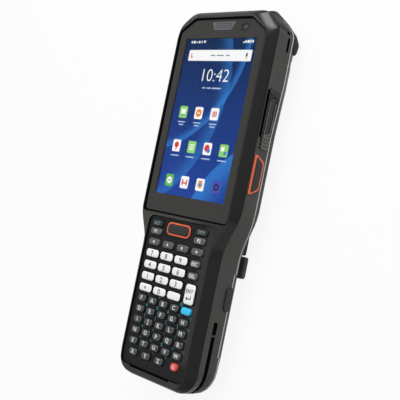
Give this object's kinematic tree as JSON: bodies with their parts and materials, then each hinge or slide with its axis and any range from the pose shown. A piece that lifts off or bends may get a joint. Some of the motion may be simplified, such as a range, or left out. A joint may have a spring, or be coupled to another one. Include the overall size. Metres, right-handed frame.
{
  "type": "portable barcode data terminal",
  "caption": "Handheld data terminal with a touch screen above a keypad grip, side triggers, a barcode window in a rubber hood, a hinged port cover and a hand strap.",
  "frame": {"origin": "on the surface that the back rests on, under the centre of the object's box", "axes": "+Y towards the scanner end, +X to the right of the screen, +Z out of the screen"},
  "size_m": [0.0756, 0.2064, 0.0289],
  "materials": {
    "housing_black": "fine grained moulding",
    "bezel_black": "matt",
    "button_black": "satin",
    "orange_trim": "satin",
    "touch_glass": "polished",
    "display": "gloss",
    "grille_grey": "perforated, matt",
    "lens_black": "gloss",
    "lamp_white": "diffusing",
    "board_green": "solder mask",
    "battery_foil": "wrapped",
    "rubber_black": "matt",
    "port_steel": "drawn",
    "engine_black": "satin",
    "scan_window_red": "polished",
    "contact_gold": "gold flash",
    "webbing_black": "woven",
    "screw_steel": "zinc plated",
    "key_dark": "satin",
    "key_grey": "satin",
    "key_white": "satin",
    "key_red": "satin",
    "key_blue": "satin"
  },
  "bodies": {
    "housing": {"front_housing": "housing_black", "rear_housing": "housing_black", "touch_glass": "touch_glass", "display_panel": "display", "earpiece_grille": "grille_grey", "front_camera": "lens_black", "keypad_bezel": "bezel_black", "scan_key_ring": "orange_trim", "keypad_board": "board_green", "main_board": "board_green", "battery_pack": "battery_foil", "battery_cover": "housing_black", "trigger_rings": "orange_trim", "port_hinge": "rubber_black", "port_connector": "port_steel", "scan_engine": "engine_black", "scan_window": "scan_window_red", "top_hood": "rubber_black", "rear_camera": "lens_black", "flash_lamp": "lamp_white", "loudspeaker": "engine_black", "dock_contacts": "contact_gold", "hand_strap": "webbing_black", "strap_bracket": "bezel_black", "housing_screws": "screw_steel", "housing_seal": "rubber_black"},
    "port_cover": {"port_cover": "rubber_black"},
    "right_trigger": {"right_trigger": "button_black"},
    "left_trigger": {"left_trigger": "button_black"},
    "right_latch": {"right_latch": "button_black"},
    "left_latch": {"left_latch": "button_black"},
    "scan_key": {"scan_key": "key_dark"},
    "power_key": {"power_key": "key_red"},
    "enter_key": {"enter_key": "key_white"},
    "blue_key": {"blue_key": "key_blue"},
    "left_arrow_key": {"left_arrow_key": "key_grey"},
    "up_arrow_key": {"up_arrow_key": "key_grey"},
    "down_arrow_key": {"down_arrow_key": "key_grey"},
    "right_arrow_key": {"right_arrow_key": "key_grey"},
    "left_soft_key": {"left_soft_key": "key_dark"},
    "right_soft_key": {"right_soft_key": "key_dark"},
    "p1_key": {"p1_key": "key_grey"},
    "p2_key": {"p2_key": "key_grey"},
    "key_7": {"key_7": "key_white"},
    "key_8": {"key_8": "key_white"},
    "key_9": {"key_9": "key_white"},
    "key_4": {"key_4": "key_white"},
    "key_5": {"key_5": "key_white"},
    "key_6": {"key_6": "key_white"},
    "key_1": {"key_1": "key_white"},
    "key_2": {"key_2": "key_white"},
    "key_3": {"key_3": "key_white"},
    "key_star": {"key_star": "key_white"},
    "key_0": {"key_0": "key_white"},
    "key_plain": {"key_plain": "key_white"},
    "escape_key": {"escape_key": "key_grey"},
    "delete_key": {"delete_key": "key_grey"},
    "letter_keys_a_to_h": {"letter_keys_a_to_h": "key_dark"},
    "letter_keys_i_to_r": {"letter_keys_i_to_r": "key_dark"},
    "letter_keys_s_to_z": {"letter_keys_s_to_z": "key_dark"}
  },
  "joints": [
    {"name": "port_cover_hinge", "type": "hinge", "parent": "housing", "child": "port_cover", "pos_m": [0.0361, 0.05325, 0.0178], "axis": [0, 0, 1], "range_deg": [0, 90]},
    {"name": "right_trigger_press", "type": "slide", "parent": "housing", "child": "right_trigger", "axis": [-1, 0, 0], "range_m": [0, 0.0006], "stiffness_N_per_m": 900, "springref_m": -0.001},
    {"name": "left_trigger_press", "type": "slide", "parent": "housing", "child": "left_trigger", "axis": [1, 0, 0], "range_m": [0, 0.0006], "stiffness_N_per_m": 900, "springref_m": -0.001},
    {"name": "right_latch_press", "type": "slide", "parent": "housing", "child": "right_latch", "axis": [-1, 0, 0], "range_m": [0, 0.0012], "stiffness_N_per_m": 600, "springref_m": -0.001},
    {"name": "left_latch_press", "type": "slide", "parent": "housing", "child": "left_latch", "axis": [1, 0, 0], "range_m": [0, 0.0012], "stiffness_N_per_m": 600, "springref_m": -0.001},
    {"name": "scan_key_press", "type": "slide", "parent": "housing", "child": "scan_key", "axis": [0, 0, -1], "range_m": [0, 0.0007], "stiffness_N_per_m": 500, "springref_m": -0.001},
    {"name": "power_key_press", "type": "slide", "parent": "housing", "child": "power_key", "axis": [0, 0, -1], "range_m": [0, 0.0007], "stiffness_N_per_m": 500, "springref_m": -0.001},
    {"name": "enter_key_press", "type": "slide", "parent": "housing", "child": "enter_key", "axis": [0, 0, -1], "range_m": [0, 0.0007], "stiffness_N_per_m": 500, "springref_m": -0.001},
    {"name": "blue_key_press", "type": "slide", "parent": "housing", "child": "blue_key", "axis": [0, 0, -1], "range_m": [0, 0.0007], "stiffness_N_per_m": 500, "springref_m": -0.001},
    {"name": "left_arrow_key_press", "type": "slide", "parent": "housing", "child": "left_arrow_key", "axis": [0, 0, -1], "range_m": [0, 0.0007], "stiffness_N_per_m": 500, "springref_m": -0.001},
    {"name": "up_arrow_key_press", "type": "slide", "parent": "housing", "child": "up_arrow_key", "axis": [0, 0, -1], "range_m": [0, 0.0007], "stiffness_N_per_m": 500, "springref_m": -0.001},
    {"name": "down_arrow_key_press", "type": "slide", "parent": "housing", "child": "down_arrow_key", "axis": [0, 0, -1], "range_m": [0, 0.0007], "stiffness_N_per_m": 500, "springref_m": -0.001},
    {"name": "right_arrow_key_press", "type": "slide", "parent": "housing", "child": "right_arrow_key", "axis": [0, 0, -1], "range_m": [0, 0.0007], "stiffness_N_per_m": 500, "springref_m": -0.001},
    {"name": "left_soft_key_press", "type": "slide", "parent": "housing", "child": "left_soft_key", "axis": [0, 0, -1], "range_m": [0, 0.0007], "stiffness_N_per_m": 500, "springref_m": -0.001},
    {"name": "right_soft_key_press", "type": "slide", "parent": "housing", "child": "right_soft_key", "axis": [0, 0, -1], "range_m": [0, 0.0007], "stiffness_N_per_m": 500, "springref_m": -0.001},
    {"name": "p1_key_press", "type": "slide", "parent": "housing", "child": "p1_key", "axis": [0, 0, -1], "range_m": [0, 0.0007], "stiffness_N_per_m": 500, "springref_m": -0.001},
    {"name": "p2_key_press", "type": "slide", "parent": "housing", "child": "p2_key", "axis": [0, 0, -1], "range_m": [0, 0.0007], "stiffness_N_per_m": 500, "springref_m": -0.001},
    {"name": "key_7_press", "type": "slide", "parent": "housing", "child": "key_7", "axis": [0, 0, -1], "range_m": [0, 0.0007], "stiffness_N_per_m": 500, "springref_m": -0.001},
    {"name": "key_8_press", "type": "slide", "parent": "housing", "child": "key_8", "axis": [0, 0, -1], "range_m": [0, 0.0007], "stiffness_N_per_m": 500, "springref_m": -0.001},
    {"name": "key_9_press", "type": "slide", "parent": "housing", "child": "key_9", "axis": [0, 0, -1], "range_m": [0, 0.0007], "stiffness_N_per_m": 500, "springref_m": -0.001},
    {"name": "key_4_press", "type": "slide", "parent": "housing", "child": "key_4", "axis": [0, 0, -1], "range_m": [0, 0.0007], "stiffness_N_per_m": 500, "springref_m": -0.001},
    {"name": "key_5_press", "type": "slide", "parent": "housing", "child": "key_5", "axis": [0, 0, -1], "range_m": [0, 0.0007], "stiffness_N_per_m": 500, "springref_m": -0.001},
    {"name": "key_6_press", "type": "slide", "parent": "housing", "child": "key_6", "axis": [0, 0, -1], "range_m": [0, 0.0007], "stiffness_N_per_m": 500, "springref_m": -0.001},
    {"name": "key_1_press", "type": "slide", "parent": "housing", "child": "key_1", "axis": [0, 0, -1], "range_m": [0, 0.0007], "stiffness_N_per_m": 500, "springref_m": -0.001},
    {"name": "key_2_press", "type": "slide", "parent": "housing", "child": "key_2", "axis": [0, 0, -1], "range_m": [0, 0.0007], "stiffness_N_per_m": 500, "springref_m": -0.001},
    {"name": "key_3_press", "type": "slide", "parent": "housing", "child": "key_3", "axis": [0, 0, -1], "range_m": [0, 0.0007], "stiffness_N_per_m": 500, "springref_m": -0.001},
    {"name": "key_star_press", "type": "slide", "parent": "housing", "child": "key_star", "axis": [0, 0, -1], "range_m": [0, 0.0007], "stiffness_N_per_m": 500, "springref_m": -0.001},
    {"name": "key_0_press", "type": "slide", "parent": "housing", "child": "key_0", "axis": [0, 0, -1], "range_m": [0, 0.0007], "stiffness_N_per_m": 500, "springref_m": -0.001},
    {"name": "key_plain_press", "type": "slide", "parent": "housing", "child": "key_plain", "axis": [0, 0, -1], "range_m": [0, 0.0007], "stiffness_N_per_m": 500, "springref_m": -0.001},
    {"name": "escape_key_press", "type": "slide", "parent": "housing", "child": "escape_key", "axis": [0, 0, -1], "range_m": [0, 0.0007], "stiffness_N_per_m": 500, "springref_m": -0.001},
    {"name": "delete_key_press", "type": "slide", "parent": "housing", "child": "delete_key", "axis": [0, 0, -1], "range_m": [0, 0.0007], "stiffness_N_per_m": 500, "springref_m": -0.001},
    {"name": "letter_keys_a_to_h_press", "type": "slide", "parent": "housing", "child": "letter_keys_a_to_h", "axis": [0, 0, -1], "range_m": [0, 0.0007], "stiffness_N_per_m": 500, "springref_m": -0.001},
    {"name": "letter_keys_i_to_r_press", "type": "slide", "parent": "housing", "child": "letter_keys_i_to_r", "axis": [0, 0, -1], "range_m": [0, 0.0007], "stiffness_N_per_m": 500, "springref_m": -0.001},
    {"name": "letter_keys_s_to_z_press", "type": "slide", "parent": "housing", "child": "letter_keys_s_to_z", "axis": [0, 0, -1], "range_m": [0, 0.0007], "stiffness_N_per_m": 500, "springref_m": -0.001}
  ]
}
